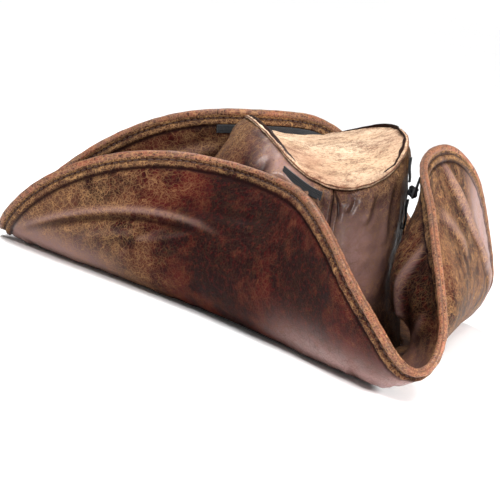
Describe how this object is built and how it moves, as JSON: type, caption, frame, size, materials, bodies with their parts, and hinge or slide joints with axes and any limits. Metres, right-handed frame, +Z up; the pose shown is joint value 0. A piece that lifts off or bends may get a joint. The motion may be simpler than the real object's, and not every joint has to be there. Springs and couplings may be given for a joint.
{
  "type": "pirate hat",
  "caption": "Three-cornered soft hat: oval crown with a saddle-shaped top and a wired brim whose flaps turn up and are tied to the crown with black lace.",
  "frame": {"origin": "middle of the head opening, on the plane that the underside of the brim rests on", "axes": "+Z up out of the crown's top, -Y towards the front corner, +X towards the wearer's left"},
  "size_m": [0.3976, 0.3852, 0.15],
  "materials": {
    "brim_leather": "distressed faux leather, semi-gloss, oxblood brown with a fine tan crackle",
    "crown_leather": "distressed faux leather, semi-gloss, tan brown with a fine crackle",
    "edge_bead": "rolled faux-leather edge, rubbed paler",
    "stiffener": "dark felt stiffener",
    "wire": "thin millinery wire",
    "lining": "black woven lining, matt",
    "sweatband": "black ribbed grosgrain ribbon, low sheen",
    "lace": "black flat woven lace, matt"
  },
  "bodies": {
    "crown_and_brim": {"brim_under": "brim_leather", "brim_stiffener": "stiffener", "brim_upper": "brim_leather", "corner_front_edge_bead": "edge_bead", "corner_front_edge_wire": "wire", "corner_left_edge_bead": "edge_bead", "corner_left_edge_wire": "wire", "corner_right_edge_bead": "edge_bead", "corner_right_edge_wire": "wire", "crown_tip": "crown_leather", "crown_side_right": "crown_leather", "crown_side_left": "crown_leather", "lining_tip": "lining", "lining_side": "lining", "sweatband": "sweatband", "right_tie": "lace", "left_tie_lace": "lace", "left_tie_tail": "lace", "left_tie_knot": "lace", "left_tie_span": "lace"},
    "right_flap": {"flap_right_under": "brim_leather", "flap_right_stiffener": "stiffener", "flap_right_upper": "brim_leather", "flap_right_edge_wire": "wire", "flap_right_edge_bead": "edge_bead"},
    "left_flap": {"flap_left_under": "brim_leather", "flap_left_stiffener": "stiffener", "flap_left_upper": "brim_leather", "flap_left_edge_wire": "wire", "flap_left_edge_bead": "edge_bead"},
    "back_flap": {"flap_back_under": "brim_leather", "flap_back_stiffener": "stiffener", "flap_back_upper": "brim_leather", "flap_back_edge_wire": "wire", "flap_back_edge_bead": "edge_bead", "back_tie": "lace"}
  },
  "joints": [
    {"name": "right_flap_fold", "type": "hinge", "parent": "crown_and_brim", "child": "right_flap", "pos_m": [-0.10584, -0.0695, 0.014], "axis": [0.5, -0.866, 0], "range_deg": [0, 70]},
    {"name": "left_flap_fold", "type": "hinge", "parent": "crown_and_brim", "child": "left_flap", "pos_m": [0.11499, -0.054, 0.017], "axis": [0.5, 0.866, 0], "range_deg": [0, 85]},
    {"name": "back_flap_fold", "type": "hinge", "parent": "crown_and_brim", "child": "back_flap", "pos_m": [0.018, 0.122, 0.009], "axis": [-1, 0, 0], "range_deg": [0, 75]}
  ]
}
